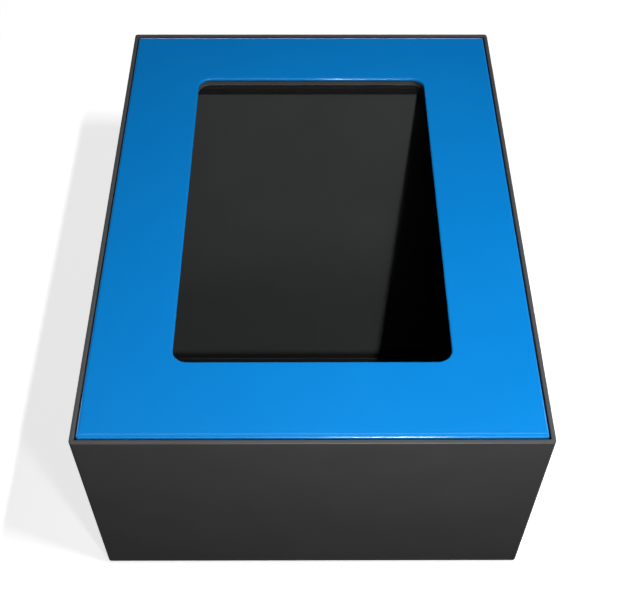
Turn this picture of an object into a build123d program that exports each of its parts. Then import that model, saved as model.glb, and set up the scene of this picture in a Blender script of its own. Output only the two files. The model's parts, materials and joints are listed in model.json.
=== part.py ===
"""Passive magnetic detacher for hard security tags, as an assembly of separate sub-parts.

A folded-steel box carries a hinged cover with a hand-sized opening. A smooth sloping deck lies under
the opening, and a potted magnet sits behind the deck. A tag is pressed on the deck over the magnet, its
clutch lets go, and the freed tag slides down to the pocket at the front.

Millimetres. X is the width, Y the depth with the front at -Y, and Z is up. The origin is on the
counter, under the middle of the box.
"""
from build123d import *
from math import cos, radians, sin, tan
import os

# Housing
housing_width = 180.0
housing_depth = 242.0
housing_height = 100.0
foot_height = 3.0
wall = 1.8
housing_corner_radius = 1.5
housing_inner_radius = 0.5
rim_edge_radius = 0.6
bottom_flange_width = 14.0

# Cover
cover_gap = 0.5
cover_back_gap = 1.8
cover_stands_proud = 0.8
cover_thickness = 1.6
cover_edge_radius = 1.5
cover_corner_radius = 1.0
opening_width = 109.6
opening_depth = 169.5
opening_corner_radius = 6.0
opening_edge_radius = 0.7
opening_lower_radius = 0.4

# Backing frame under the cover plate
frame_thickness = 2.9
frame_inset = 8.8
frame_setback = 0.5
stud_radius = 1.5
stud_nut_height = 2.4
stud_nut_across_flats = 5.5
stud_column_x = 61.5
stud_row_y = 95.5
studs_along_side_y = (-60.0, 0.0, 60.0)
studs_along_end_x = (-22.0, 22.0)
stud_clearance = 0.1

# Base plate
base_edge_gap = 1.5
counter_hole_radius = 2.75
counter_hole_spacing_x = 120.0
counter_hole_spacing_y = 200.0
base_screw_radius = 1.5
base_screw_head_radius = 2.8
base_screw_head_height = 1.6
base_screw_column_x = 81.0
base_screw_rows_y = (-80.0, 0.0, 80.0)

# Rubber feet
foot_radius = 5.5
foot_inset = 9.5
foot_plug_radius = 2.0
foot_plug_height = 1.2

# Sloping deck
deck_thickness = 2.0
deck_slope = 39.5
deck_header_drop = 9.7
deck_lip_setback = 1.0
deck_toe_y = -14.1
deck_side_gap = 2.4
deck_bend_radius = 2.5
deck_screw_radius = 1.5
deck_screw_head_radius = 3.0
deck_screw_head_height = 1.5
deck_screw_inset = 7.4
deck_screw_stations = (-2.0, 70.0)
trim_wall = 1.0
trim_end_gap = 6.0
trim_air_gap = 0.4

# Deck rails, cover ledges and their pads
rail_flange = 13.0
rail_leg = 12.0
ledge_thickness = 1.6
ledge_width = 20.4
ledge_leg = 16.0
pad_thickness = 1.5
pad_radius = 4.0
side_ledge_front_y = -92.0
side_ledge_back_y = 68.0
front_ledge_half_width = 64.0

# Cover pivots
pivot_from_back_edge = 19.4
pivot_below_top = 5.5
pivot_pin_radius = 1.5
pivot_clearance = 0.05
bush_wall = 1.0
pivot_block_thickness = 6.0
pivot_block_length = 14.0
pivot_block_depth = 6.9
pivot_side_gap = 0.9
pivot_bracket_thickness = 2.0
pivot_bracket_nose_radius = 3.0
# Foot of the bracket, from the pin: front, back, bottom and top
pivot_bracket_foot = (-15.0, -3.0, -17.0, -8.0)
pivot_pin_end_gap = 0.2

# Magnetic catches at the front
catch_x = 42.0
catch_y = -104.0
catch_magnet_radius = 5.0
catch_magnet_height = 4.0
catch_cup_wall = 1.0
catch_cup_flange = 2.0
catch_air_gap = 0.3

# Detaching magnet behind the deck
magnet_y = 36.0
magnet_air_gap = 0.6
pot_radius = 25.0
pot_height = 29.0
pot_floor = 6.0
pot_wall = 3.0
glue_line = 0.1
ring_bore_radius = 13.5
core_radius = 8.0
magnet_recess = 1.5
pole_height = 6.0
face_cap_thickness = 1.2
cradle_thickness = 2.5
cradle_width = 60.0
cradle_foot_length = 17.0
cradle_bend_radius = 3.0
magnet_bolt_radius = 3.0
magnet_bolt_length = 7.0
magnet_bolt_head_radius = 5.0
magnet_bolt_head_height = 4.0
cradle_screw_radius = 2.0
cradle_screw_head_radius = 3.8
cradle_screw_head_height = 2.2
cradle_screw_x = 20.0

# Pocket mat
mat_thickness = 1.5
mat_edge_gap = 2.0
mat_toe_gap = 0.5
screw_clearance = 0.1

# Levels and faces worked out from the sizes above
rim_z = foot_height + housing_height
cover_top_z = rim_z + cover_stands_proud
cover_bottom_z = cover_top_z - cover_thickness
frame_bottom_z = cover_bottom_z - frame_thickness
ledge_top_z = frame_bottom_z - pad_thickness
flange_top_z = foot_height + wall
floor_z = flange_top_z + wall
inner_x = housing_width / 2 - wall
inner_y = housing_depth / 2 - wall
cover_half_x = inner_x - cover_gap
cover_front_y = -inner_y + cover_gap
cover_back_y = inner_y - cover_back_gap
frame_half_x = cover_half_x - frame_inset
frame_half_y = -cover_front_y - frame_inset
deck_rise = tan(radians(deck_slope))
deck_head_y = opening_depth / 2
deck_head_z = rim_z - deck_header_drop
pivot_y = cover_back_y - pivot_from_back_edge
pivot_z = cover_top_z - pivot_below_top


def deck_surface_z(y):
    """Height of the deck's upper surface at a depth."""
    return deck_head_z - (deck_head_y - y) * deck_rise


def box_between(x0, x1, y0, y1, z0, z1):
    """A box from its two corners."""
    centre = Pos((x0 + x1) / 2, (y0 + y1) / 2, (z0 + z1) / 2)
    return centre * Box(x1 - x0, y1 - y0, z1 - z0)


def rounded_slab(width, depth, radius, z0, z1):
    """A plate with rounded corners, centred on the box."""
    return Pos(0, 0, z0) * extrude(RectangleRounded(width, depth, radius), z1 - z0)


def post(x, y, z0, z1, radius):
    """An upright cylinder."""
    return Pos(x, y, (z0 + z1) / 2) * Cylinder(radius, z1 - z0)


def pin_along_x(x0, x1, y, z, radius):
    """A cylinder lying across the box."""
    return Pos((x0 + x1) / 2, y, z) * Rot(0, 90, 0) * Cylinder(radius, x1 - x0)


def folded_sheet(points, bend_radius, thickness, x0, x1):
    """Sheet metal folded along a path in the YZ plane and run from x0 to x1."""
    section = trace(FilletPolyline(*points, radius=bend_radius), thickness)
    return Pos(x0, 0, 0) * extrude(Plane.YZ * section, x1 - x0)


def both_sides(solid):
    """A solid and its mirror image on the other side of the box."""
    return [solid, mirror(solid, about=Plane.YZ)]


def grid(xs, ys):
    """Every place where a column crosses a row."""
    return [(x, y) for x in xs for y in ys]


def save(node, *solids):
    """Write one node's file."""
    shape = solids[0] if len(solids) == 1 else Compound(children=list(solids))
    export_step(shape, f"parts/{node}.step")


# Housing -----------------------------------------------------------------------------------------

def base_screw_places():
    return grid((-base_screw_column_x, base_screw_column_x), base_screw_rows_y)


def foot_places():
    return grid(
        (-housing_width / 2 + foot_inset, housing_width / 2 - foot_inset),
        (-housing_depth / 2 + foot_inset, housing_depth / 2 - foot_inset),
    )


def make_housing_shell():
    """Four walls welded at ground corners, with a flange turned in along the bottom."""
    outside = rounded_slab(housing_width, housing_depth, housing_corner_radius, foot_height, rim_z)
    cavity = rounded_slab(2 * inner_x, 2 * inner_y, housing_inner_radius, flange_top_z, rim_z + wall)
    window_x = 2 * (inner_x - bottom_flange_width)
    window_y = 2 * (inner_y - bottom_flange_width)
    window = rounded_slab(window_x, window_y, housing_corner_radius, 0, flange_top_z + wall)
    shell = outside - cavity - window
    rim_edges = shell.edges().filter_by_position(Axis.Z, rim_z - wall / 8, rim_z + wall / 8)
    shell = fillet(rim_edges, rim_edge_radius)
    for x, y in base_screw_places():
        shell -= post(x, y, 0, floor_z, base_screw_radius + screw_clearance)
    for x, y in foot_places():
        shell -= post(x, y, 0, floor_z, foot_plug_radius + screw_clearance)
    return shell


def make_base_plate():
    """Floor of the box, laid on the flange, with holes for bolting down to a counter."""
    plate_width = 2 * (inner_x - base_edge_gap)
    plate_depth = 2 * (inner_y - base_edge_gap)
    plate = rounded_slab(plate_width, plate_depth, housing_corner_radius, flange_top_z, floor_z)
    half_x = counter_hole_spacing_x / 2
    half_y = counter_hole_spacing_y / 2
    for x, y in grid((-half_x, half_x), (-half_y, half_y)):
        plate -= post(x, y, 0, floor_z + wall, counter_hole_radius)
    for x, y in base_screw_places():
        plate -= post(x, y, 0, floor_z + wall, base_screw_radius + screw_clearance)
    for x, y in cradle_screw_places():
        plate -= post(x, y, 0, floor_z + wall, cradle_screw_radius + screw_clearance)
    return plate


def make_base_screws():
    """Screws driven up through the flange into the base plate."""
    screws = []
    for x, y in base_screw_places():
        head = post(x, y, foot_height - base_screw_head_height, foot_height, base_screw_head_radius)
        shank = post(x, y, foot_height, floor_z, base_screw_radius)
        screws.append(head + shank)
    return screws


def make_rubber_feet():
    """Feet with a plug that pushes into the flange."""
    feet = []
    for x, y in foot_places():
        pad = post(x, y, 0, foot_height, foot_radius)
        pad = fillet(pad.edges().group_by(Axis.Z)[0], foot_height / 6)
        plug = post(x, y, foot_height, foot_height + foot_plug_height, foot_plug_radius)
        feet.append(pad + plug)
    return feet


# Ledges, pads and catches ------------------------------------------------------------------------

def make_side_ledge():
    """Angle welded inside the right wall, which carries the side of the closed cover."""
    leg = box_between(
        inner_x - ledge_thickness, inner_x, side_ledge_front_y, side_ledge_back_y,
        ledge_top_z - ledge_leg, ledge_top_z,
    )
    shelf = box_between(
        inner_x - ledge_width, inner_x, side_ledge_front_y, side_ledge_back_y,
        ledge_top_z - ledge_thickness, ledge_top_z,
    )
    return leg + shelf


def make_front_ledge():
    """Angle welded inside the front wall, with a hole for each catch."""
    leg = box_between(
        -front_ledge_half_width, front_ledge_half_width, -inner_y, -inner_y + ledge_thickness,
        ledge_top_z - ledge_leg, ledge_top_z,
    )
    shelf = box_between(
        -front_ledge_half_width, front_ledge_half_width, -inner_y, -inner_y + ledge_width,
        ledge_top_z - ledge_thickness, ledge_top_z,
    )
    ledge = leg + shelf
    cup_radius = catch_magnet_radius + glue_line + catch_cup_wall
    for x in (-catch_x, catch_x):
        ledge -= post(x, catch_y, 0, rim_z, cup_radius + glue_line)
    return ledge


def make_cover_pads():
    """Rubber discs on the ledges, where the backing frame comes to rest."""
    pad_x = (frame_half_x + inner_x - ledge_width) / 2
    pad_end_gap = 2 * pad_radius
    side_places = grid((-pad_x, pad_x), (side_ledge_front_y + pad_end_gap, side_ledge_back_y - pad_end_gap))
    front_places = [(0.0, catch_y)]
    return [post(x, y, ledge_top_z, frame_bottom_z, pad_radius) for x, y in side_places + front_places]


def catch_cup_section():
    """Outer radius of a catch cup and the height of its magnet's underside."""
    outer = catch_magnet_radius + glue_line + catch_cup_wall
    magnet_bottom = frame_bottom_z - catch_air_gap - catch_magnet_height
    return outer, magnet_bottom


def make_catch_cups():
    """Moulded cups that hold the catch magnets in the front ledge."""
    outer, magnet_bottom = catch_cup_section()
    ledge_underside = ledge_top_z - ledge_thickness
    cups = []
    for x in (-catch_x, catch_x):
        barrel = post(x, catch_y, magnet_bottom - catch_cup_wall, frame_bottom_z - catch_air_gap, outer)
        flange = post(x, catch_y, magnet_bottom - catch_cup_wall, ledge_underside, outer + catch_cup_flange)
        bore = post(x, catch_y, magnet_bottom, rim_z, catch_magnet_radius + glue_line)
        cups.append(barrel + flange - bore)
    return cups


def make_catch_magnets():
    """Disc magnets that hold the steel backing frame shut."""
    _, magnet_bottom = catch_cup_section()
    return [
        post(x, catch_y, magnet_bottom, magnet_bottom + catch_magnet_height, catch_magnet_radius)
        for x in (-catch_x, catch_x)
    ]


# Deck --------------------------------------------------------------------------------------------

def deck_centre_z(y):
    """Height of the middle of the deck's thickness at a depth."""
    return deck_surface_z(y) - deck_thickness / 2 / cos(radians(deck_slope))


def on_deck(x, y, below=0.0):
    """A place on the deck's upper surface whose Z axis stands square to the deck."""
    tilt = radians(deck_slope)
    return Pos(x, y + below * sin(tilt), deck_surface_z(y) - below * cos(tilt)) * Rot(deck_slope, 0, 0)


def deck_screw_places():
    column_x = inner_x - deck_screw_inset
    return grid((-column_x, column_x), deck_screw_stations)


def make_deck():
    """Smooth sheet folded up at the head and down at the toe."""
    lip_y = deck_head_y + deck_lip_setback + deck_thickness / 2
    toe_y = deck_toe_y + deck_thickness / 2
    lip_top_z = frame_bottom_z - trim_air_gap - trim_wall
    half_width = inner_x - deck_side_gap
    points = [(lip_y, deck_centre_z(lip_y)), (toe_y, deck_centre_z(toe_y)), (toe_y, floor_z)]
    slope = folded_sheet(points, deck_bend_radius, deck_thickness, -half_width, half_width)
    lip = box_between(
        -half_width, half_width, lip_y - deck_thickness / 2, lip_y + deck_thickness / 2,
        deck_centre_z(lip_y) - deck_thickness / 2, lip_top_z,
    )
    deck = slope + lip
    for x, y in deck_screw_places():
        deck -= on_deck(x, y) * Cylinder(deck_screw_radius + screw_clearance, 4 * deck_thickness)
    return deck


def make_edge_trim():
    """Rubber channel pushed over the deck's upper lip."""
    lip_y = deck_head_y + deck_lip_setback
    top_z = frame_bottom_z - trim_air_gap
    bottom_z = deck_head_z + deck_lip_setback * deck_rise
    half_length = inner_x - trim_end_gap
    channel = box_between(
        -half_length, half_length, deck_head_y, lip_y + deck_thickness + trim_wall, bottom_z, top_z
    )
    slot = box_between(-inner_x, inner_x, lip_y, lip_y + deck_thickness, 0, top_z - trim_wall)
    return channel - slot


def make_deck_rail():
    """Angle welded inside the right wall at the deck's slope, with threaded holes for the deck."""
    tilt = radians(deck_slope)
    below = deck_thickness
    head_y = deck_head_y - rail_flange
    toe_y = deck_toe_y + rail_leg
    length = (head_y - toe_y) / cos(tilt)
    middle = on_deck(0, (head_y + toe_y) / 2, below)
    flange = middle * box_between(inner_x - rail_flange, inner_x, -length / 2, length / 2, -wall, 0)
    leg = middle * box_between(inner_x - wall, inner_x, -length / 2, length / 2, -rail_leg, 0)
    rail = flange + leg
    for x, y in deck_screw_places():
        if x > 0:
            rail -= on_deck(x, y) * Cylinder(deck_screw_radius + screw_clearance, 4 * deck_thickness)
    return rail


def make_deck_screws():
    """Low screws that hold the deck to its rails, out of sight under the cover's margins."""
    shank_length = deck_thickness + 2 * wall
    head_shape = post(0, 0, 0, deck_screw_head_height, deck_screw_head_radius)
    shank_shape = post(0, 0, -shank_length, 0, deck_screw_radius)
    screws = []
    for x, y in deck_screw_places():
        head = on_deck(x, y) * head_shape
        shank = on_deck(x, y) * shank_shape
        screws.append(head + shank)
    return screws


def make_pocket_mat():
    """Rubber mat on the floor of the pocket where freed tags collect."""
    front_y = -inner_y + mat_edge_gap
    back_y = deck_toe_y - mat_toe_gap
    half_width = inner_x - mat_edge_gap
    mat = box_between(-half_width, half_width, front_y, back_y, floor_z, floor_z + mat_thickness)
    half_x = counter_hole_spacing_x / 2
    half_y = counter_hole_spacing_y / 2
    for x in (-half_x, half_x):
        mat -= post(x, -half_y, 0, rim_z, 3 * counter_hole_radius)
    return mat


# Magnet ------------------------------------------------------------------------------------------

def magnet_cylinder(top, bottom, radius):
    """A cylinder square to the deck, between two depths below its upper surface."""
    middle = (top + bottom) / 2
    return on_deck(0, magnet_y, middle) * Cylinder(radius, bottom - top)


pot_top = deck_thickness + magnet_air_gap
pot_bottom = pot_top + pot_height
cavity_top = pot_top + magnet_recess
cavity_bottom = pot_bottom - pot_floor


def make_magnet_pot():
    """Steel pot that carries the flux round the outside, threaded for its bolt."""
    pot = magnet_cylinder(pot_top, pot_bottom, pot_radius)
    pot -= magnet_cylinder(pot_top - pot_floor, cavity_bottom, pot_radius - pot_wall)
    return pot - magnet_cylinder(cavity_bottom, pot_bottom + pot_floor, magnet_bolt_radius + screw_clearance)


def make_ring_magnet():
    """Ring magnet round the inside of the pot."""
    ring = magnet_cylinder(cavity_top, cavity_bottom, pot_radius - pot_wall - glue_line)
    return ring - magnet_cylinder(cavity_top - pot_floor, pot_bottom, ring_bore_radius)


def make_spacer_ring():
    """Aluminium sleeve that keeps the ring magnet and the core apart."""
    sleeve = magnet_cylinder(cavity_top, cavity_bottom, ring_bore_radius - glue_line)
    return sleeve - magnet_cylinder(cavity_top - pot_floor, pot_bottom, core_radius + glue_line)


def make_core_magnet():
    """Centre magnet, standing clear of the bolt's tip."""
    return magnet_cylinder(cavity_top + pole_height, cavity_bottom, core_radius)


def make_pole_piece():
    """Steel cap on the core magnet, which gathers its field under the deck."""
    return magnet_cylinder(cavity_top, cavity_top + pole_height, core_radius)


def make_face_cap():
    """Thin stainless disc that closes the pot's mouth."""
    return magnet_cylinder(cavity_top - face_cap_thickness, cavity_top, pot_radius - pot_wall - glue_line)


def cradle_screw_places():
    front_y, back_y = cradle_foot_spans()
    return grid((-cradle_screw_x, cradle_screw_x), (sum(front_y) / 2, sum(back_y) / 2))


def cradle_corners():
    """Places along the middle of the cradle's sheet where it bends."""
    depth = pot_bottom + cradle_thickness / 2
    foot_z = floor_z + cradle_thickness / 2
    tilt = radians(deck_slope)
    seat_z_at_magnet = deck_surface_z(magnet_y) - depth / cos(tilt)
    front_y = magnet_y + (foot_z - seat_z_at_magnet) / deck_rise
    back_y = magnet_y + depth * sin(tilt) + (pot_radius + cradle_thickness) * cos(tilt)
    back_z = seat_z_at_magnet + (back_y - magnet_y) * deck_rise
    return front_y, back_y, back_z, foot_z


def cradle_foot_spans():
    """Where the flat feet start and end, front and back."""
    front_y, back_y, _, _ = cradle_corners()
    front = (front_y - cradle_foot_length, front_y - cradle_bend_radius)
    back = (back_y + cradle_bend_radius, back_y + cradle_foot_length)
    return front, back


def make_magnet_cradle():
    """Folded bracket that holds the pot square to the deck."""
    front_y, back_y, back_z, foot_z = cradle_corners()
    points = [
        (front_y - cradle_foot_length, foot_z), (front_y, foot_z), (back_y, back_z),
        (back_y, foot_z), (back_y + cradle_foot_length, foot_z),
    ]
    cradle = folded_sheet(points, cradle_bend_radius, cradle_thickness, -cradle_width / 2, cradle_width / 2)
    cradle -= magnet_cylinder(pot_bottom - cradle_thickness, pot_bottom + 2 * cradle_thickness,
                              magnet_bolt_radius + screw_clearance)
    for x, y in cradle_screw_places():
        cradle -= post(x, y, 0, foot_z + cradle_thickness, cradle_screw_radius + screw_clearance)
    return cradle


def make_magnet_bolt():
    """Hexagon bolt through the cradle into the pot's floor."""
    head_top = pot_bottom + cradle_thickness
    shank = magnet_cylinder(head_top - magnet_bolt_length, head_top, magnet_bolt_radius)
    head = on_deck(0, magnet_y, head_top + magnet_bolt_head_height) * extrude(
        RegularPolygon(magnet_bolt_head_radius, 6), magnet_bolt_head_height
    )
    return shank + head


def make_cradle_screws():
    """Screws through the cradle's feet into the base plate."""
    foot_top = floor_z + cradle_thickness
    screws = []
    for x, y in cradle_screw_places():
        head = post(x, y, foot_top, foot_top + cradle_screw_head_height, cradle_screw_head_radius)
        shank = post(x, y, flange_top_z, foot_top, cradle_screw_radius)
        screws.append(head + shank)
    return screws


# Cover -------------------------------------------------------------------------------------------

def opening_edges(edges):
    """Those edges that run round the opening."""
    half_x = opening_width / 2 + opening_edge_radius
    half_y = opening_depth / 2 + opening_edge_radius
    return [edge for edge in edges if abs(edge.center().X) < half_x and abs(edge.center().Y) < half_y]


def make_cover_plate():
    """Blue plate set in the rim, with a rounded-corner opening and a wider gap behind for the swing."""
    depth = cover_back_y - cover_front_y
    slab = rounded_slab(2 * cover_half_x, depth, cover_corner_radius, cover_bottom_z, cover_top_z)
    plate = Pos(0, (cover_front_y + cover_back_y) / 2, 0) * slab
    plate = fillet(plate.edges().group_by(Axis.Z)[-1], cover_edge_radius)
    plate -= rounded_slab(opening_width, opening_depth, opening_corner_radius, 0, rim_z + housing_height)
    plate = fillet(opening_edges(plate.edges().group_by(Axis.Z)[-1]), opening_edge_radius)
    return fillet(opening_edges(plate.edges().group_by(Axis.Z)[0]), opening_lower_radius)


def stud_places():
    """Studs along both long sides and across the front and back margins."""
    sides = grid((-stud_column_x, stud_column_x), studs_along_side_y)
    ends = grid(studs_along_end_x, (-stud_row_y, stud_row_y))
    return sides + ends


def make_cover_frame():
    """Steel frame under the cover plate, which stiffens it and meets the catches."""
    frame_width = 2 * frame_half_x
    frame_depth = 2 * frame_half_y
    frame = rounded_slab(frame_width, frame_depth, cover_corner_radius, frame_bottom_z, cover_bottom_z)
    window_width = opening_width + 2 * frame_setback
    window_depth = opening_depth + 2 * frame_setback
    frame -= rounded_slab(window_width, window_depth, opening_corner_radius, 0, rim_z)
    for x, y in stud_places():
        frame -= post(x, y, 0, rim_z, stud_radius + stud_clearance)
    return frame


def make_cover_studs():
    """Studs welded to the underside of the cover plate."""
    stud_bottom_z = frame_bottom_z - stud_nut_height - stud_radius / 2
    return [post(x, y, stud_bottom_z, cover_bottom_z, stud_radius) for x, y in stud_places()]


def make_cover_nuts():
    """Nuts that clamp the frame against the plate."""
    nuts = []
    for x, y in stud_places():
        hexagon = extrude(RegularPolygon(stud_nut_across_flats / 2, 6, major_radius=False), stud_nut_height)
        nut = Pos(x, y, frame_bottom_z - stud_nut_height) * hexagon
        nuts.append(nut - post(x, y, 0, rim_z, stud_radius + stud_clearance))
    return nuts


# Pivots ------------------------------------------------------------------------------------------

block_outer_x = inner_x - pivot_bracket_thickness - pivot_side_gap
block_inner_x = block_outer_x - pivot_block_thickness
bush_radius = pivot_pin_radius + pivot_clearance + bush_wall


def make_pivot_block():
    """Block under the right rear corner of the cover, bored for its bush."""
    block = box_between(
        block_inner_x, block_outer_x, pivot_y - pivot_block_length / 2, pivot_y + pivot_block_length / 2,
        cover_bottom_z - pivot_block_depth, cover_bottom_z,
    )
    lower_edges = block.edges().filter_by(Axis.X).group_by(Axis.Z)[0]
    block = fillet(lower_edges, pivot_block_depth / 2 - pivot_clearance)
    return block - pin_along_x(0, housing_width, pivot_y, pivot_z, bush_radius + pivot_clearance)


def make_pivot_bush():
    """Plain bush pressed in the block."""
    bush = pin_along_x(block_inner_x, block_outer_x, pivot_y, pivot_z, bush_radius)
    return bush - pin_along_x(0, housing_width, pivot_y, pivot_z, pivot_pin_radius + pivot_clearance)


def make_pivot_bracket():
    """Tab welded inside the right wall, shaped to stay out of the cover's swing."""
    front, back, low, high = pivot_bracket_foot
    nose = Circle(pivot_bracket_nose_radius)
    foot = Pos((front + back) / 2, (low + high) / 2, 0) * Rectangle(back - front, high - low)
    outline = make_hull(nose.edges() + foot.edges())
    tab = Plane.YZ * Pos(pivot_y, pivot_z, 0) * outline
    bracket = Pos(inner_x - pivot_bracket_thickness, 0, 0) * extrude(tab, pivot_bracket_thickness)
    return bracket - pin_along_x(0, housing_width, pivot_y, pivot_z, pivot_pin_radius + screw_clearance)


def make_pivot_pin():
    """Pin riveted in the bracket, which ends just short of the bush's inboard end."""
    return pin_along_x(block_inner_x + pivot_pin_end_gap, inner_x, pivot_y, pivot_z, pivot_pin_radius)


def main():
    os.makedirs("parts", exist_ok=True)
    save("housing_shell", make_housing_shell())
    save("base_plate", make_base_plate())
    save("base_screws", *make_base_screws())
    save("rubber_feet", *make_rubber_feet())
    right_ledge, left_ledge = both_sides(make_side_ledge())
    save("right_ledge", right_ledge)
    save("left_ledge", left_ledge)
    save("front_ledge", make_front_ledge())
    save("cover_pads", *make_cover_pads())
    save("catch_cups", *make_catch_cups())
    save("catch_magnets", *make_catch_magnets())
    save("sloping_deck", make_deck())
    save("deck_edge_trim", make_edge_trim())
    right_rail, left_rail = both_sides(make_deck_rail())
    save("right_deck_rail", right_rail)
    save("left_deck_rail", left_rail)
    save("deck_screws", *make_deck_screws())
    save("pocket_mat", make_pocket_mat())
    save("magnet_pot", make_magnet_pot())
    save("ring_magnet", make_ring_magnet())
    save("spacer_ring", make_spacer_ring())
    save("core_magnet", make_core_magnet())
    save("pole_piece", make_pole_piece())
    save("magnet_face_cap", make_face_cap())
    save("magnet_cradle", make_magnet_cradle())
    save("magnet_bolt", make_magnet_bolt())
    save("cradle_screws", *make_cradle_screws())
    save("cover_plate", make_cover_plate())
    save("cover_frame", make_cover_frame())
    save("cover_studs", *make_cover_studs())
    save("cover_nuts", *make_cover_nuts())
    for name, piece in (
        ("pivot_block", make_pivot_block()),
        ("pivot_bush", make_pivot_bush()),
        ("pivot_bracket", make_pivot_bracket()),
        ("pivot_pin", make_pivot_pin()),
    ):
        right_piece, left_piece = both_sides(piece)
        save(f"right_{name}", right_piece)
        save(f"left_{name}", left_piece)


main()
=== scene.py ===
"""Looks of the security tag detacher: materials, small details, light and camera round the CAD frame."""
import json
import math

import bmesh
import bpy
from mathutils import Matrix, Vector


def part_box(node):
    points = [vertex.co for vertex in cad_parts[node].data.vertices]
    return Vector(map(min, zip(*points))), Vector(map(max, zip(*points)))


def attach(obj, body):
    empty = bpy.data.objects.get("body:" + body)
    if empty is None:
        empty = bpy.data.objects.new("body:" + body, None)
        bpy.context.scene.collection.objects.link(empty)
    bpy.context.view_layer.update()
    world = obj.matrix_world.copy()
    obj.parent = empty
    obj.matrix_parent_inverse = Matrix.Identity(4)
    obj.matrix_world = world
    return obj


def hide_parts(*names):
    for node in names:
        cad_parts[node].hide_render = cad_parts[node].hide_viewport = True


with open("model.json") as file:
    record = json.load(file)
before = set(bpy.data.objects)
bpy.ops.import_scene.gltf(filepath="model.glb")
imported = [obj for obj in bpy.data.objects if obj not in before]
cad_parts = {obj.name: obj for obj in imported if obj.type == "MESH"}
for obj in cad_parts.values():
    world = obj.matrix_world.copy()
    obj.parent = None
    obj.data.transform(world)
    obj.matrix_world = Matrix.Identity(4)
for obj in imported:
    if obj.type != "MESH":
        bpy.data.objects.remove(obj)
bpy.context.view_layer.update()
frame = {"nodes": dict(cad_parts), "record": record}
nodes = frame["nodes"]
bodies = frame["record"]["behaviour"]["bodies"]
slots = {part["node"]: part["material_slot"] for part in frame["record"]["subparts"]}

MM = 0.001

# Places read from the frame, in metres
shell_low, shell_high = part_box("housing_shell")
front_y = shell_low.y
rim_z = shell_high.z

# Camera, held above and in front of the box
IMAGE_WIDTH = 626
FOCAL_PIXELS = 1045.22
SENSOR_WIDTH = 36.0
CAMERA_FROM_FRONT_RIM = Vector((-1.288, -198.806, 332.901)) * MM
CAMERA_PITCH = math.radians(51.288)
CAMERA_YAW = math.radians(0.353)
CAMERA_ROLL = math.radians(0.211)

# Sizes repeated from the design, where the frame doesn't state them
OPENING_HALF_WIDTH = 54.8 * MM
DECK_SLOPE = math.radians(39.5)
FOOT_HEIGHT = 3.0 * MM
BASE_SCREW_HEAD = 1.6 * MM
BASE_SCREW_RADIUS = 1.5 * MM
DECK_SCREW_HEAD = 1.5 * MM
DECK_SCREW_RADIUS = 1.5 * MM
CRADLE_SCREW_HEAD = 2.2 * MM
CRADLE_SCREW_RADIUS = 2.0 * MM
NUT_BORE = 1.6 * MM
BOLT_HEAD_HEIGHT = 4.0 * MM
BOLT_RADIUS = 3.0 * MM
RING_MAGNET_BORE = 13.5 * MM
SPACER_BORE = 8.1 * MM
CUP_FLANGE = 2.0 * MM
CUP_WALL = 1.0 * MM
CUP_FLANGE_HEIGHT = 1.6 * MM
TRIM_WALL = 1.0 * MM
COUNTER_HOLE_X = 60.0 * MM
COUNTER_HOLE_Y = 100.0 * MM
MAT_HOLE_RADIUS = 8.25 * MM

# Details of the pieces. A share is of the radius, height or pitch that it follows
ROUND = 48
SHARPEST_SMOOTH = 30.0
CENTRE_SHARE = 0.1
SOFT_EDGE = 0.3 * MM
THREAD_PITCH = 0.5 * MM
BOLT_PITCH = 1.0 * MM
THREAD_DEPTH_SHARE = 0.55
RINGS_PER_TURN = 6
HEXAGON_FACE_SHARE = 0.95
HEXAGON_SLOPE = math.tan(math.radians(30))
SOCKET_MOUTH_SHARE = 0.56
SOCKET_SHARES = ((0.46, 1.0), (0.43, 0.94), (0.42, 0.4))
SOCKET_FLOOR_SHARE = 0.28
TIP_SHARE = 0.7
RIB_PITCH = 3.0 * MM
RIB_HEIGHT = 0.5 * MM
RIB_SHARES = ((0.12, 0.0), (0.26, 0.85), (0.38, 1.0), (0.62, 1.0), (0.74, 0.85), (0.88, 0.0))
TRIM_CROWN_SHARE = 0.42
TRIM_STATIONS = 60
TRIM_DRIFT = 0.06 * MM
TRIM_WAVES = (9 * MM, 23 * MM)
WELD_SIZE = 1.1 * MM
WELD_SINK = 0.3 * MM
WELD_LENGTH = 16.0 * MM
WELD_STATION = 0.3 * MM
WELD_SIDES = 12
WELD_END = 0.1 * MM
WELD_TAPER = 1.5 * MM
WELD_RIPPLE = 1.2 * MM
WELD_RIPPLE_SHARE = 0.07
SIDE_WELD_SHARES = (0.08, 0.36, 0.64, 0.92)
FRONT_WELD_SHARES = (0.08, 0.5, 0.92)

# Finishes
NOISE_LOW = 0.3
NOISE_HIGH = 0.7
EVEN = (1.0, 1.0, 1.0)
ALONG_X = (0.05, 1.0, 1.0)
DOWN_SLOPE = (1.0, 0.03, 0.03)

# Light. The key and front cards are placed by how far forward of the front wall and above the rim they are
SHADOW_LEAN = 0.24
CARD_WIDTH = 20 * MM
KEY_NEAR = (110 * MM, 545 * MM)
KEY_FAR = (-10 * MM, 545 * MM)
KEY_POWER = 2.62
FRONT_LOW = (230 * MM, 110 * MM)
FRONT_HIGH = (220 * MM, 210 * MM)
FRONT_POWER = 0.40
GLINT_LOW = Vector((62, -450, 8)) * MM
GLINT_HIGH = Vector((62, -450, 75)) * MM
GLINT_WIDTH = 95 * MM
GLINT_POWER = 1.7
FILL_SIDES = (("fill_left", (-1, 0, 0)), ("fill_right", (1, 0, 0)), ("fill_back", (0, 1, 0)))
FILL_DISTANCE = 0.8
FILL_HEIGHT = 0.05
FILL_LENGTH = 0.7
FILL_WIDTH = 0.1
FILL_POWER = 1.5
SHEENS = (
    ("sheen_front", (0, -1.0, 0.12), (0, 0, 0.1)),
    ("sheen_top", (0, 0.2, 1.2), (0, 0, 0.1)),
)
SHEEN_LENGTH = 0.8
SHEEN_WIDTH = 0.3
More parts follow.
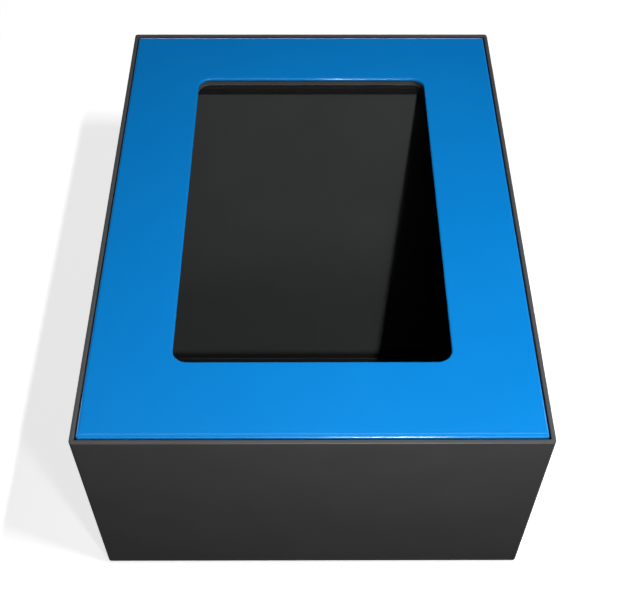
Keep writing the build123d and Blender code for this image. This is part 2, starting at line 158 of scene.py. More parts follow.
SHEEN_POWER = 1.5
ROOM_LOW = 0.028
ROOM_HIGH = 0.005
ROOM_FADE = 0.5

# Floor and backdrop
FLOOR_HALF_WIDTH = 3.0
FLOOR_GLOW = 0.75
BACKDROP_RADIUS = 3.0
BACKDROP_GLOW = 0.9


def add_object(name, data):
    """A new object that shows a mesh, a light or a camera."""
    new = bpy.data.objects.new(name, data)
    bpy.context.collection.objects.link(new)
    return new


def mesh_from(name, mesh):
    """Mesh data from a bmesh, which is freed."""
    data = bpy.data.meshes.new(name)
    mesh.to_mesh(data)
    mesh.free()
    return data


def add_camera():
    """A camera that looks down into the opening from above the user's side."""
    data = bpy.data.cameras.new("camera")
    data.sensor_width = SENSOR_WIDTH
    data.lens = FOCAL_PIXELS * SENSOR_WIDTH / IMAGE_WIDTH
    data.clip_start = 0.01
    camera = add_object("camera", data)
    forward = Vector((
        math.sin(CAMERA_YAW) * math.cos(CAMERA_PITCH),
        math.cos(CAMERA_YAW) * math.cos(CAMERA_PITCH),
        -math.sin(CAMERA_PITCH),
    ))
    level_right = Vector((math.cos(CAMERA_YAW), -math.sin(CAMERA_YAW), 0))
    level_up = level_right.cross(forward)
    right = level_right * math.cos(CAMERA_ROLL) + level_up * math.sin(CAMERA_ROLL)
    up = level_up * math.cos(CAMERA_ROLL) - level_right * math.sin(CAMERA_ROLL)
    turn = Matrix((right, up, -forward)).transposed().to_4x4()
    place = Vector((0, front_y, rim_z)) + CAMERA_FROM_FRONT_RIM
    camera.matrix_world = Matrix.Translation(place) @ turn
    bpy.context.scene.camera = camera


def add_card(name, start, end, width, target, power):
    """A soft rectangular light whose long middle line runs from one place to another."""
    start, end, target = Vector(start), Vector(end), Vector(target)
    middle = (start + end) / 2
    data = bpy.data.lights.new(name, "AREA")
    data.shape = "RECTANGLE"
    data.size = width
    data.size_y = (end - start).length
    data.energy = power
    light = add_object(name, data)
    light.visible_camera = False
    along = (end - start).normalized()
    away = middle - target
    away = (away - along * away.dot(along)).normalized()
    turn = Matrix((along.cross(away), along, away)).transposed().to_4x4()
    light.matrix_world = Matrix.Translation(middle) @ turn
    return light


add_camera()


# Materials ---------------------------------------------------------------------------------------

class Finish:
    """A principled material with helpers for the procedural nodes that feed it."""

    def __init__(self, name, **constants):
        self.material = bpy.data.materials.new(name)
        self.material.use_nodes = True
        self.tree = self.material.node_tree
        self.shader = self.tree.nodes["Principled BSDF"]
        for socket, value in constants.items():
            self.shader.inputs[socket.replace("_", " ")].default_value = value
        self.coordinates = self.tree.nodes.new("ShaderNodeTexCoord").outputs["Object"]

    def link(self, output, target):
        self.tree.links.new(output, target)

    def stretched(self, scale):
        """Object coordinates squeezed along the axes, for brushed and dragged marks."""
        mapping = self.tree.nodes.new("ShaderNodeMapping")
        mapping.inputs["Scale"].default_value = scale
        self.link(self.coordinates, mapping.inputs["Vector"])
        return mapping.outputs["Vector"]

    def noise(self, size, detail=2.0, roughness=0.5, vector=None):
        """Noise with features of a size in metres."""
        node = self.tree.nodes.new("ShaderNodeTexNoise")
        node.inputs["Scale"].default_value = 1.0 / size
        node.inputs["Detail"].default_value = detail
        node.inputs["Roughness"].default_value = roughness
        self.link(vector or self.coordinates, node.inputs["Vector"])
        return node.outputs["Fac"]

    def cells(self, size):
        """Round cells with a size in metres, as the distance from each cell's centre."""
        node = self.tree.nodes.new("ShaderNodeTexVoronoi")
        node.inputs["Scale"].default_value = 1.0 / size
        self.link(self.coordinates, node.inputs["Vector"])
        return node.outputs["Distance"]

    def spread(self, value, low, high, to_low=0.0, to_high=1.0):
        """A value remapped from one span to another, and held at its ends."""
        node = self.tree.nodes.new("ShaderNodeMapRange")
        node.inputs["From Min"].default_value = low
        node.inputs["From Max"].default_value = high
        node.inputs["To Min"].default_value = to_low
        node.inputs["To Max"].default_value = to_high
        self.link(value, node.inputs["Value"])
        return node.outputs["Result"]

    def varied(self, size, detail=2.0, roughness=0.5, low=0.0, high=1.0):
        """Noise whose usual span is remapped to run from one value to another."""
        return self.spread(self.noise(size, detail, roughness), NOISE_LOW, NOISE_HIGH, low, high)

    def combine(self, operation, first, second):
        """Two values, or a value and a number, through one sum."""
        node = self.tree.nodes.new("ShaderNodeMath")
        node.operation = operation
        node.use_clamp = operation != "SUBTRACT"
        for socket, value in zip(node.inputs, (first, second)):
            if isinstance(value, (int, float)):
                socket.default_value = value
            else:
                self.link(value, socket)
        return node.outputs["Value"]

    def blend(self, fac, first, second):
        """Two colours mixed by a value. Each is a colour or a socket."""
        node = self.tree.nodes.new("ShaderNodeMix")
        node.data_type = "RGBA"
        self.link(fac, node.inputs["Factor"])
        for name, value in (("A", first), ("B", second)):
            socket = [s for s in node.inputs if s.name == name and s.type == "RGBA"][0]
            if isinstance(value, tuple):
                socket.default_value = (*value, 1.0)
            else:
                self.link(value, socket)
        return [s for s in node.outputs if s.type == "RGBA"][0]

    def edges(self, radius, low, high):
        """A mask that is 1 on edges, where a softened normal leaves the true one. Finishes use it for rubbed
        and polished edges, and in the coat and enamel also for painted highlight and painted shade.
        """
        soft = self.tree.nodes.new("ShaderNodeBevel")
        soft.samples = 4
        soft.inputs["Radius"].default_value = radius
        geometry = self.tree.nodes.new("ShaderNodeNewGeometry")
        dot = self.tree.nodes.new("ShaderNodeVectorMath")
        dot.operation = "DOT_PRODUCT"
        self.link(soft.outputs["Normal"], dot.inputs[0])
        self.link(geometry.outputs["Normal"], dot.inputs[1])
        return self.spread(dot.outputs["Value"], 1.0 - low, 1.0 - high)

    def colour(self, output):
        self.link(output, self.shader.inputs["Base Color"])

    def roughness(self, output):
        self.link(output, self.shader.inputs["Roughness"])

    def bump(self, *layers):
        """Bump layers, each a height socket and its depth in metres."""
        normal = None
        for height, depth in layers:
            node = self.tree.nodes.new("ShaderNodeBump")
            node.inputs["Strength"].default_value = 1.0
            node.inputs["Distance"].default_value = depth
            self.link(height, node.inputs["Height"])
            if normal:
                self.link(normal, node.inputs["Normal"])
            normal = node.outputs["Normal"]
        self.link(normal, self.shader.inputs["Normal"])


def powder_coat(name, dark, light, edge_polish_and_highlight):
    """Dark grey powder coat: fine orange peel, faint mottling, and lighter edges, partly polished by handling
    and partly a painted highlight along the rims.
    """
    finish = Finish(name, Specular_IOR_Level=0.4)
    base = finish.blend(finish.varied(18 * MM, detail=4.0, roughness=0.6), dark, light)
    patches = finish.spread(finish.noise(6 * MM, detail=3.0), 0.35, 0.65, 0.35, 1.0)
    # Lighter edge colour: partly polished by handling, partly a painted highlight that brightens the rims.
    polish_and_highlight_mask = finish.combine("MULTIPLY", finish.edges(0.7 * MM, 0.03, 0.25), patches)
    finish.colour(finish.blend(polish_and_highlight_mask, base, edge_polish_and_highlight))
    dull = finish.varied(9 * MM, detail=5.0, roughness=0.65, low=0.39, high=0.45)
    polish = finish.combine("MULTIPLY", polish_and_highlight_mask, 0.25)
    finish.roughness(finish.combine("SUBTRACT", dull, polish))
    finish.bump((finish.noise(0.9 * MM), 0.009 * MM), (finish.noise(0.25 * MM), 0.004 * MM))
    return finish.material


def blue_enamel(name):
    """Glossy blue enamel with slight orange peel, faint tone drift, and darker edges: partly thinner paint,
    partly painted shade.
    """
    finish = Finish(name, Specular_IOR_Level=0.2, Coat_Weight=0.5, Coat_Roughness=0.05, Coat_IOR=1.5)
    drift = finish.varied(60 * MM, detail=3.0)
    base = finish.blend(drift, (0.004, 0.282, 0.82), (0.005, 0.298, 0.85))
    patches = finish.varied(5 * MM, detail=4.0, low=0.3, high=0.7)
    # Darker edge colour: partly thinner paint, partly painted shade on rounded edges that turn away from the
    # light.
    thinner_paint_and_edge_shade = finish.combine("MULTIPLY", finish.edges(0.5 * MM, 0.05, 0.4), patches)
    finish.colour(finish.blend(thinner_paint_and_edge_shade, base, (0.002, 0.15, 0.46)))
    finish.roughness(finish.varied(14 * MM, detail=4.0, roughness=0.6, low=0.22, high=0.27))
    peel = finish.noise(3.0 * MM, detail=1.0)
    grain = finish.noise(0.8 * MM, detail=1.0)
    finish.bump((peel, 0.0015 * MM), (grain, 0.0004 * MM))
    return finish.material


def deck_laminate(name):
    """Dark low-friction sheet with faint drag marks down the slope."""
    finish = Finish(name, Specular_IOR_Level=0.3)
    cloud = finish.varied(30 * MM, detail=4.0, roughness=0.6)
    base = finish.blend(cloud, (0.040, 0.041, 0.041), (0.045, 0.046, 0.046))
    drags = finish.noise(2.2 * MM, detail=3.0, roughness=0.6, vector=finish.stretched(DOWN_SLOPE))
    marks = finish.spread(drags, 0.66, 0.80, 0.0, 0.12)
    finish.colour(finish.blend(marks, base, (0.065, 0.066, 0.067)))
    finish.roughness(finish.spread(drags, 0.3, 0.75, 0.52, 0.48))
    finish.bump((finish.noise(0.5 * MM), 0.006 * MM))
    return finish.material


def rubber(name):
    """Matt black rubber with a fine grain and a little dust."""
    finish = Finish(name, Specular_IOR_Level=0.25)
    dust = finish.spread(finish.noise(4 * MM, detail=5.0, roughness=0.7), 0.5, 0.8, 0.0, 0.5)
    finish.colour(finish.blend(dust, (0.011, 0.011, 0.011), (0.022, 0.021, 0.020)))
    finish.roughness(finish.varied(1.5 * MM, detail=3.0, low=0.65, high=0.85))
    finish.bump((finish.noise(0.3 * MM), 0.02 * MM))
    return finish.material


def moulded_plastic(name):
    """Black moulded plastic with a spark-eroded texture."""
    finish = Finish(name, Specular_IOR_Level=0.4)
    tone = finish.varied(8 * MM, detail=3.0)
    finish.colour(finish.blend(tone, (0.022, 0.022, 0.023), (0.032, 0.032, 0.033)))
    finish.roughness(finish.varied(3 * MM, detail=3.0, low=0.42, high=0.55))
    finish.bump((finish.cells(0.35 * MM), 0.012 * MM))
    return finish.material


def metal(name, dark, light, roughest, smoothest, grain_stretch, grain_size):
    """Bare or plated metal with a grain along one direction and slightly tarnished patches."""
    finish = Finish(name, Metallic=1.0)
    grain = finish.noise(grain_size, detail=4.0, roughness=0.6, vector=finish.stretched(grain_stretch))
    base = finish.blend(finish.varied(5 * MM, detail=4.0, roughness=0.6), dark, light)
    rubbed = finish.edges(0.3 * MM, 0.05, 0.4)
    finish.colour(finish.blend(rubbed, base, light))
    finish.roughness(finish.spread(grain, NOISE_LOW, NOISE_HIGH, smoothest, roughest))
    finish.bump((grain, 0.006 * MM))
    return finish.material


def ferrite(name):
    """Ground ferrite: dark, dense and slightly pitted."""
    finish = Finish(name, Specular_IOR_Level=0.6)
    pits = finish.spread(finish.cells(0.6 * MM), 0.05, 0.2)
    finish.colour(finish.blend(pits, (0.02, 0.02, 0.02), (0.05, 0.05, 0.052)))
    finish.roughness(finish.varied(2 * MM, detail=3.0, low=0.4, high=0.6))
    finish.bump((pits, 0.01 * MM))
    return finish.material


materials = {
    # The housing's third colour is its edge colour: partly polished paint, partly a painted rim highlight.
    "housing": powder_coat(
        "housing_coat", (0.094, 0.093, 0.093), (0.104, 0.103, 0.103), (0.40, 0.40, 0.398)
    ),
    "cover_blue": blue_enamel("cover_enamel"),
    "deck": deck_laminate("deck_laminate"),
    "rubber": rubber("rubber_black"),
    "black_plastic": moulded_plastic("moulded_black"),
    "zinc": metal("zinc_plate", (0.42, 0.42, 0.40), (0.62, 0.61, 0.58), 0.42, 0.28, EVEN, 1.2 * MM),
    "stainless": metal(
        "stainless_ground", (0.48, 0.48, 0.48), (0.62, 0.62, 0.62), 0.38, 0.22, ALONG_X, 0.6 * MM
    ),
    "black_screw": metal("black_oxide", (0.03, 0.03, 0.032), (0.07, 0.07, 0.072), 0.5, 0.35, EVEN, 0.8 * MM),
    "nickel": metal("nickel_plate", (0.58, 0.55, 0.50), (0.72, 0.70, 0.66), 0.22, 0.10, EVEN, 1.5 * MM),
    "ferrite": ferrite("ferrite_ground"),
    "aluminium": metal(
        "aluminium_turned", (0.66, 0.67, 0.68), (0.82, 0.83, 0.84), 0.35, 0.20, EVEN, 0.4 * MM
    ),
    "bronze": metal("sintered_bronze", (0.38, 0.24, 0.12), (0.55, 0.38, 0.20), 0.5, 0.35, EVEN, 0.5 * MM),
}


def dress_nodes():
    """Give every CAD node the material of its slot."""
    for name, node in nodes.items():
        node.data.materials.clear()
        node.data.materials.append(materials[slots[name]])


dress_nodes()


# Detailed pieces ---------------------------------------------------------------------------------

UPRIGHT = Matrix.Identity(3)
SQUARE_TO_DECK = Matrix.Rotation(DECK_SLOPE, 3, "X")


def body_of(node):
    """The moving body that a node belongs to."""
    return next(body for body, members in bodies.items() if node in members)


def solids(node, turn=UPRIGHT):
    """Lowest and highest corners of each separate solid in a node, along a turned frame's axes."""
    mesh = bmesh.new()
    mesh.from_mesh(nodes[node].data)
    bmesh.ops.remove_doubles(mesh, verts=mesh.verts, dist=0.001 * MM)
    waiting = set(mesh.verts)
    spans = []
    while waiting:
        island = [waiting.pop()]
        for vertex in island:
            for edge in vertex.link_edges:
                other = edge.other_vert(vertex)
                if other in waiting:
                    waiting.remove(other)
                    island.append(other)
        places = [turn.transposed() @ vertex.co for vertex in island]
        low = Vector(min(place[axis] for place in places) for axis in range(3))
        high = Vector(max(place[axis] for place in places) for axis in range(3))
        spans.append((low, high))
    mesh.free()
    return sorted(spans, key=lambda span: tuple(span[0]))


def circle(_angle, radius):
    """How far a circle reaches at an angle."""
    return radius


def hexagon(angle, apothem):
    """How far a hexagon reaches at an angle."""
    sector = math.pi / 3
    return apothem / math.cos((angle + sector / 2) % sector - sector / 2)


def ring(radius, height, outline=circle):
    """Points round the local Z axis. The height may be a function of the angle and the radius."""
    points = []
    for step in range(ROUND):
        angle = math.tau * step / ROUND
        reach = outline(angle, radius)
        level = height(angle, reach) if callable(height) else height
        points.append(Vector((reach * math.cos(angle), reach * math.sin(angle), level)))
    return points


def turned(profile):
    """Rings from a profile of radii and heights."""
    return [ring(radius, height) for radius, height in profile]


def rounded(centre, radius, first, last, steps=5):
    """Profile points round an arc, from one angle to another in degrees."""
    angles = [math.radians(first + (last - first) * step / steps) for step in range(steps + 1)]
    return [(centre[0] + radius * math.cos(a), centre[1] + radius * math.sin(a)) for a in angles]


def thread(radius, low, high, pitch=THREAD_PITCH):
    """Rings whose radius rises and falls along a helix, with plain ends."""
    depth = THREAD_DEPTH_SHARE * pitch
    steps = max(4, round((high - low) / pitch * RINGS_PER_TURN))
    rings = []
    for step in range(steps + 1):
        height = low + (high - low) * step / steps
        ease = min(1.0, (height - low) / pitch, (high - height) / pitch)

        def groove(angle, reach, height=height, ease=ease):
            phase = (height / pitch - angle / math.tau) % 1.0
            return reach - depth * ease * abs(2 * phase - 1)

        rings.append(ring(radius, height, groove))
    return rings


def skin(mesh, rings, closed=False):
    """Quads between rings, with flat ends, or joined end to end when closed."""
    loops = [[mesh.verts.new(point) for point in points] for points in rings]
    pairs = list(zip(loops, loops[1:]))
    if closed:
        pairs.append((loops[-1], loops[0]))
    for lower, upper in pairs:
        for step in range(len(lower)):
            after = (step + 1) % len(lower)
            mesh.faces.new((lower[step], lower[after], upper[after], upper[step]))
    if not closed:
        mesh.faces.new(loops[0])
        mesh.faces.new(loops[-1])


def add_piece(name, stacks, slot, body, replaced=(), turn=UPRIGHT, crease=SHARPEST_SMOOTH):
    """One piece from stacks of rings. Each stack is its place, its rings, and whether it is a closed tube."""
    mesh = bmesh.new()
    for place, rings, closed in stacks:
        skin(mesh, [[point + place for point in points] for points in rings], closed)
    bmesh.ops.transform(mesh, matrix=turn.to_4x4(), verts=mesh.verts)
    return finish_piece(name, mesh, slot, body, replaced, crease)


def finish_piece(name, mesh, slot, body, replaced, crease):
    """Turn a bmesh into a piece that rides on its body and carries its slot's finish."""
    bmesh.ops.recalc_face_normals(mesh, faces=mesh.faces)
    sharp = math.radians(crease)
    for face in mesh.faces:
        face.smooth = True
    for edge in mesh.edges:
        edge.smooth = edge.is_manifold and edge.calc_face_angle(0.0) < sharp
    data = mesh_from(name, mesh)
    data.materials.append(materials[slot])
    piece = add_object(name, data)
    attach(piece, body)
    if replaced:
        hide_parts(*replaced)
    return piece


def replace(node, make_rings, turn=UPRIGHT, closed=False):
    """Stand a detailed piece in for a node, with one stack of rings for each of its solids."""
    stacks = []
    for low, high in solids(node, turn):
        place = Vector(((low.x + high.x) / 2, (low.y + high.y) / 2, 0))
        radius = (high.x - low.x) / 2
        stacks.append((place, make_rings(radius, low.z, high.z), closed))
    return add_piece(node + "_detail", stacks, slots[node], body_of(node), (node,), turn)


def socket_screw(head_height, shank_radius, head_up=True):
    """A low domed head with a hexagon socket, and a threaded shank with a chamfered tip."""
    def rings(radius, low, high):
        brim = 0.25 * head_height
        dome = 0.7 * head_height
        brim_level = 0.3 * head_height
        crown = [
            *turned(rounded((radius - brim, brim_level), brim, -90, 0, 4)),
            *turned(rounded((radius - dome, brim_level), dome, 20, 90, 6)),
            ring(radius * SOCKET_MOUTH_SHARE, head_height),
            *[ring(radius * reach, head_height * level, hexagon) for reach, level in SOCKET_SHARES],
            ring(radius * CENTRE_SHARE, head_height * SOCKET_FLOOR_SHARE),
        ]
        tip = head_height - (high - low)
        chamfer = 0.2 * MM
        shank = [
            ring(shank_radius * TIP_SHARE, tip),
            *thread(shank_radius, tip + chamfer, -SOFT_EDGE),
            ring(shank_radius, 0),
        ]
        stack = shank + crown
        if head_up:
            return [[point + Vector((0, 0, low - tip)) for point in points] for points in stack]
        return [[Vector((p.x, p.y, high + tip - p.z)) for p in points] for points in stack]
    return rings


def foot_rings(radius, low, high):
    """A bumper with a dished sole and a barbed plug."""
    centre = 0.4 * MM
    dish_top = low + 0.7 * MM
    dish_radius = 2.0 * MM
    dish_lip = 2.9 * MM
    toe = 0.5 * MM
    neck = 1.85 * MM
    barb = 2.0 * MM
    tip = 1.5 * MM
    return turned([
        (centre, dish_top),
        (dish_radius, dish_top),
        *rounded((dish_lip, low + SOFT_EDGE), SOFT_EDGE, 180, 270, 4),
        *rounded((radius - toe, low + toe), toe, -90, 0, 5),
        (radius, FOOT_HEIGHT - 2 * SOFT_EDGE),
        *rounded((radius - SOFT_EDGE, FOOT_HEIGHT - SOFT_EDGE), SOFT_EDGE, 0, 90, 4),
        (neck, FOOT_HEIGHT),
        (neck, high - 0.7 * MM),
        (barb, high - 0.5 * MM),
        (tip, high),
        (centre, high),
    ])


def pad_rings(radius, low, high):
    """A bumper disc with a rounded shoulder and a shallow dish."""
    height = high - low
    shoulder = 0.4 * height
    return turned([
        (radius * 0.2, low),
        (radius, low),
        *rounded((radius - shoulder, high - shoulder), shoulder, 0, 90, 5),
        (radius * 0.45, high - 0.04 * height),
        (radius * 0.15, high - 0.1 * height),
    ])


def disc_rings(radius, low, high):
    """A ground disc with small chamfers."""
    chamfer = min(0.35 * MM, 0.2 * (high - low))
    return turned([
        (radius * CENTRE_SHARE, low), (radius - chamfer, low), (radius, low + chamfer),
        (radius, high - chamfer), (radius - chamfer, high), (radius * CENTRE_SHARE, high),
    ])


def tube_rings(bore):
    """A ring with a bore and small chamfers, as a closed loop of rings."""
    def rings(radius, low, high):
        chamfer = min(SOFT_EDGE, 0.2 * (high - low))
        return turned([
            (bore + chamfer, low), (radius - chamfer, low), (radius, low + chamfer),
            (radius, high - chamfer), (radius - chamfer, high), (bore + chamfer, high),
            (bore, high - chamfer), (bore, low + chamfer),
        ])
    return rings


def nut_rings(bore):
    """A hexagon nut whose corners are turned down on both faces."""
    def rings(across_corners, low, high):
        apothem = across_corners * math.cos(math.pi / 6)
        face = apothem * HEXAGON_FACE_SHARE
        countersink = 0.12 * bore
        return [
            ring(bore + countersink, low),
            ring(face, low),
            ring(apothem, lambda angle, reach: low + (reach - face) * HEXAGON_SLOPE, hexagon),
            ring(apothem, lambda angle, reach: high - (reach - face) * HEXAGON_SLOPE, hexagon),
            ring(face, high),
            ring(bore + countersink, high),
            ring(bore, high - countersink),
            ring(bore, low + countersink),
        ]
    return rings


def stud_rings(radius, low, high):
    """A weld stud, threaded to its chamfered tip."""
    centre = 0.25 * radius
    tip = 0.75 * radius
    chamfer = 0.25 * MM
    plain_end = 0.5 * MM
    thread_end = 0.6 * MM
    return [
        ring(centre, low),
        ring(tip, low),
        *thread(radius, low + chamfer, high - thread_end),
        ring(radius, high - plain_end),
        ring(radius, high),
        ring(centre, high),
    ]


def cup_rings(radius, low, high):
    """A moulded cup with a flange at its foot and a soft mouth."""
    barrel = radius - CUP_FLANGE
    bore = barrel - CUP_WALL
    flange_top = low + CUP_FLANGE_HEIGHT
    return turned([
        (radius * CENTRE_SHARE, low),
        *rounded((radius - SOFT_EDGE, low + SOFT_EDGE), SOFT_EDGE, -90, 0, 3),
        *rounded((radius - SOFT_EDGE, flange_top - SOFT_EDGE), SOFT_EDGE, 0, 90, 3),
        (barrel, flange_top),
        *rounded((barrel - SOFT_EDGE, high - SOFT_EDGE), SOFT_EDGE, 0, 90, 3),
        *rounded((bore + SOFT_EDGE, high - SOFT_EDGE), SOFT_EDGE, 90, 180, 3),
        (bore, low + CUP_WALL),
        (radius * CENTRE_SHARE, low + CUP_WALL),
    ])


def bolt_rings(radius, low, high):
    """A hexagon bolt, head down, with a washer face and a threaded shank."""
    apothem = radius * math.cos(math.pi / 6)
    face = apothem * HEXAGON_FACE_SHARE
    head_top = low + BOLT_HEAD_HEIGHT
    washer_face = head_top - SOFT_EDGE
    thread_start = head_top + 0.4 * MM
    thread_end = high - 0.5 * MM
    return [
        ring(radius * CENTRE_SHARE, low + SOFT_EDGE),
        ring(radius * 0.55, low + SOFT_EDGE),
        ring(radius * 0.6, low),
        ring(face, low),
        ring(apothem, lambda angle, reach: low + (reach - face) * HEXAGON_SLOPE, hexagon),
        ring(apothem, washer_face, hexagon),
        ring(face, washer_face),
        ring(face, head_top),
        ring(BOLT_RADIUS, head_top),
        *thread(BOLT_RADIUS, thread_start, thread_end, BOLT_PITCH),
        ring(BOLT_RADIUS * TIP_SHARE, high),
        ring(BOLT_RADIUS * 0.2, high),
    ]


def add_edge_trim():
    """Rubber channel over the deck's lip: a bulbous top, two legs, and a slightly uneven run."""
    low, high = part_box("deck_edge_trim")
    crown = TRIM_CROWN_SHARE * (high.y - low.y)
    outline = [
        (low.y, low.z), (low.y, high.z - crown),
        *rounded((low.y + crown, high.z - crown), crown, 180, 90, 6),
        *rounded((high.y - crown, high.z - crown), crown, 90, 0, 6),
        (high.y, low.z), (high.y - TRIM_WALL, low.z), (high.y - TRIM_WALL, high.z - TRIM_WALL),
        (low.y + TRIM_WALL, high.z - TRIM_WALL), (low.y + TRIM_WALL, low.z),
    ]
    rings = []
    for step in range(TRIM_STATIONS + 1):
        x = low.x + (high.x - low.x) * step / TRIM_STATIONS
        drift = TRIM_DRIFT * math.prod(math.sin(x / wave) for wave in TRIM_WAVES)
        rings.append([Vector((x, max(low.y, y + drift), z)) for y, z in outline])
    add_piece("deck_edge_trim_detail", [(Vector(), rings, False)], "rubber", "housing", ("deck_edge_trim",))


def add_pocket_mat():
    """Rubber mat ribbed across the pocket, with holes over the front counter screws."""
    low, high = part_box("pocket_mat")
    ribs = round((high.y - low.y) / RIB_PITCH)
    pitch = (high.y - low.y) / ribs
    base = high.z - RIB_HEIGHT
    outline = [(low.y, low.z)]
    for rib in range(ribs):
        start = low.y + rib * pitch
        outline += [(start + pitch * along, base + RIB_HEIGHT * up) for along, up in RIB_SHARES]
    outline.append((high.y, low.z))
    rings = [[Vector((x, y, z)) for y, z in outline] for x in (low.x, high.x)]
    mat = add_piece("pocket_mat_detail", [(Vector(), rings, False)], "rubber", "housing", ("pocket_mat",))
    cut_mat_holes(mat, low.z - RIB_PITCH, high.z + RIB_PITCH)


def cut_mat_holes(mat, bottom, top):
    """Cut round holes through the mat over the front counter screws."""
    cutter_mesh = bmesh.new()
    for side in (-1, 1):
        place = Vector((side * COUNTER_HOLE_X, -COUNTER_HOLE_Y, 0))
        walls = [ring(MAT_HOLE_RADIUS, bottom), ring(MAT_HOLE_RADIUS, top)]
        skin(cutter_mesh, [[point + place for point in points] for points in walls])
    bmesh.ops.recalc_face_normals(cutter_mesh, faces=cutter_mesh.faces)
    cutter = add_object("mat_cutter", mesh_from("mat_cutter", cutter_mesh))
    cut = mat.modifiers.new("holes", "BOOLEAN")
    cut.object = cutter
    cut.operation = "DIFFERENCE"
    cut.solver = "EXACT"
    bpy.context.view_layer.update()
    graph = bpy.context.evaluated_depsgraph_get()
    result = bpy.data.meshes.new_from_object(mat.evaluated_get(graph))
    mat.modifiers.clear()
    mat.data = result
    bpy.data.objects.remove(cutter)


def weld_rings(start, end, inward):
    """A short fillet weld along a corner: a rippled bead that tapers at both ends."""
    along = (end - start).normalized()
    length = (end - start).length
    stations = round(length / WELD_STATION)
    rings = []
    for step in range(stations + 1):
        distance = length * step / stations
        from_end = min(distance, length - distance)
        taper = math.sqrt(min(1.0, (from_end + WELD_END) / WELD_TAPER))
        ripple = 1.0 + WELD_RIPPLE_SHARE * math.cos(math.tau * distance / WELD_RIPPLE)
        reach = WELD_SIZE * taper * ripple
        middle = start + along * distance
        angles = [math.tau * side / WELD_SIDES for side in range(WELD_SIDES)]
        spokes = [inward * math.cos(angle) + Vector((0, 0, 1)) * math.sin(angle) for angle in angles]
        rings.append([middle + spoke * reach for spoke in spokes])
    return rings


def add_ledge_welds():
    """Stitch welds where the ledges' shelves meet the walls."""
    stacks = []
    for node, inward in (("right_ledge", Vector((-1, 0, 0))), ("left_ledge", Vector((1, 0, 0)))):
        low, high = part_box(node)
        x = high.x if inward.x < 0 else low.x
        for share in SIDE_WELD_SHARES:
            middle = Vector((x, low.y + (high.y - low.y) * share, high.z)) + inward * WELD_SINK
            half = Vector((0, WELD_LENGTH / 2, 0))
            stacks.append((Vector(), weld_rings(middle - half, middle + half, inward), False))
    low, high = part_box("front_ledge")
    for share in FRONT_WELD_SHARES:
        middle = Vector((low.x + (high.x - low.x) * share, low.y + WELD_SINK, high.z))
        half = Vector((WELD_LENGTH / 2, 0, 0))
        stacks.append((Vector(), weld_rings(middle - half, middle + half, Vector((0, 1, 0))), False))
    add_piece("ledge_welds", stacks, "housing", "housing", crease=60.0)


replace("base_screws", socket_screw(BASE_SCREW_HEAD, BASE_SCREW_RADIUS, head_up=False))
replace("deck_screws", socket_screw(DECK_SCREW_HEAD, DECK_SCREW_RADIUS), SQUARE_TO_DECK)
replace("cradle_screws", socket_screw(CRADLE_SCREW_HEAD, CRADLE_SCREW_RADIUS))
replace("rubber_feet", foot_rings)
replace("cover_pads", pad_rings)
replace("catch_magnets", disc_rings)
replace("catch_cups", cup_rings)
replace("cover_studs", stud_rings)
replace("cover_nuts", nut_rings(NUT_BORE), closed=True)
replace("magnet_bolt", bolt_rings, SQUARE_TO_DECK)
replace("core_magnet", disc_rings, SQUARE_TO_DECK)
replace("pole_piece", disc_rings, SQUARE_TO_DECK)
replace("magnet_face_cap", disc_rings, SQUARE_TO_DECK)
replace("ring_magnet", tube_rings(RING_MAGNET_BORE), SQUARE_TO_DECK, closed=True)
replace("spacer_ring", tube_rings(SPACER_BORE), SQUARE_TO_DECK, closed=True)
add_edge_trim()
add_pocket_mat()
add_ledge_welds()


# Stage -------------------------------------------------------------------------------------------

def add_floor():
    """A plain pale sheet that the box stands on, which throws no light back on it."""
    half = FLOOR_HALF_WIDTH
    mesh = bpy.data.meshes.new("floor")
    corners = [(-half, -half, 0), (half, -half, 0), (half, half, 0), (-half, half, 0)]
    mesh.from_pydata(corners, [], [(0, 1, 2, 3)])
    floor = add_object("floor", mesh)
    paper = Finish("floor_paper", Roughness=0.9, Specular_IOR_Level=0.1, Emission_Strength=FLOOR_GLOW)
    paper.shader.inputs["Emission Color"].default_value = (1, 1, 1, 1)
    paper.colour(paper.blend(paper.noise(0.2), (0.83, 0.83, 0.83), (0.85, 0.85, 0.85)))
    mesh.materials.append(paper.material)
    floor.visible_diffuse = False
    floor.visible_glossy = False


def add_backdrop():
    """A pale dome round the floor, seen by the camera only, so that it adds no light."""
    mesh = bmesh.new()
    bmesh.ops.create_uvsphere(mesh, u_segments=64, v_segments=32, radius=BACKDROP_RADIUS)
    data = mesh_from("backdrop", mesh)
    backdrop = add_object("backdrop", data)
    paper = Finish("backdrop_paper", Roughness=1.0, Specular_IOR_Level=0.0, Emission_Strength=BACKDROP_GLOW)
    paper.shader.inputs["Base Color"].default_value = (0, 0, 0, 1)
    paper.shader.inputs["Emission Color"].default_value = (1, 1, 1, 1)
    data.materials.append(paper.material)
    backdrop.visible_diffuse = False
    backdrop.visible_glossy = False
    backdrop.visible_transmission = False
    backdrop.visible_shadow = False


def in_shadow_plane(forward, height):
    """A place in the plane through the opening's right edge that throws the deck's shadow."""
    return Vector((OPENING_HALF_WIDTH + SHADOW_LEAN * height, front_y - forward, rim_z + height))


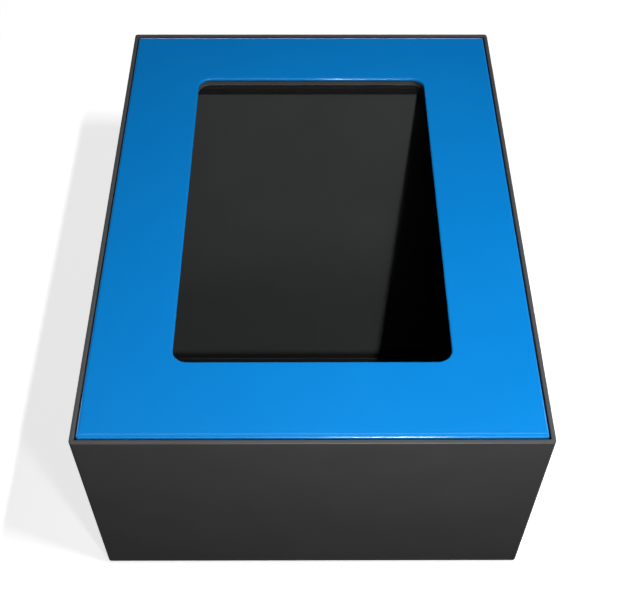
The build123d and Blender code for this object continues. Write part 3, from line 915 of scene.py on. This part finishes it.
def add_shading_cards():
    """Two narrow cards, kept out of reflections, that leave the deck's right side in shadow."""
    target = Vector((0, 0, rim_z))
    for name, start, end, power in (
        ("key", KEY_NEAR, KEY_FAR, KEY_POWER),
        ("front", FRONT_LOW, FRONT_HIGH, FRONT_POWER),
    ):
        card = add_card(name, in_shadow_plane(*start), in_shadow_plane(*end), CARD_WIDTH, target, power)
        card.visible_glossy = False


def add_reflection_cards():
    """A small glint along the front edges and two broad sheens, seen in reflections only."""
    rim_front = Vector((0, front_y, rim_z))
    glint = add_card(
        "glint", rim_front + GLINT_LOW, rim_front + GLINT_HIGH, GLINT_WIDTH, rim_front, GLINT_POWER
    )
    glint.visible_diffuse = False
    half_length = Vector((SHEEN_LENGTH / 2, 0, 0))
    for name, place, target in SHEENS:
        start = Vector(place) - half_length
        end = Vector(place) + half_length
        sheen = add_card(name, start, end, SHEEN_WIDTH, target, SHEEN_POWER)
        sheen.visible_diffuse = False


def add_fills():
    """Low cards beside and behind the box, which light its walls and stay out of the opening."""
    target = Vector((0, 0, rim_z / 2))
    for name, side in FILL_SIDES:
        middle = Vector(side) * FILL_DISTANCE + Vector((0, 0, FILL_HEIGHT))
        half_length = Vector((0, 0, 1)).cross(Vector(side)) * FILL_LENGTH / 2
        add_card(name, middle - half_length, middle + half_length, FILL_WIDTH, target, FILL_POWER)


def add_world():
    """A dim room, dark overhead."""
    world = bpy.data.worlds.new("room")
    world.use_nodes = True
    tree = world.node_tree
    direction = tree.nodes.new("ShaderNodeTexCoord")
    axes = tree.nodes.new("ShaderNodeSeparateXYZ")
    fade = tree.nodes.new("ShaderNodeMapRange")
    fade.inputs["From Min"].default_value = 0.0
    fade.inputs["From Max"].default_value = ROOM_FADE
    fade.inputs["To Min"].default_value = ROOM_LOW
    fade.inputs["To Max"].default_value = ROOM_HIGH
    tree.links.new(direction.outputs["Generated"], axes.inputs["Vector"])
    tree.links.new(axes.outputs["Z"], fade.inputs["Value"])
    tree.links.new(fade.outputs["Result"], tree.nodes["Background"].inputs["Color"])
    bpy.context.scene.world = world


add_floor()
add_backdrop()
add_shading_cards()
add_reflection_cards()
add_fills()
add_world()
bpy.context.scene.view_settings.view_transform = "Standard"
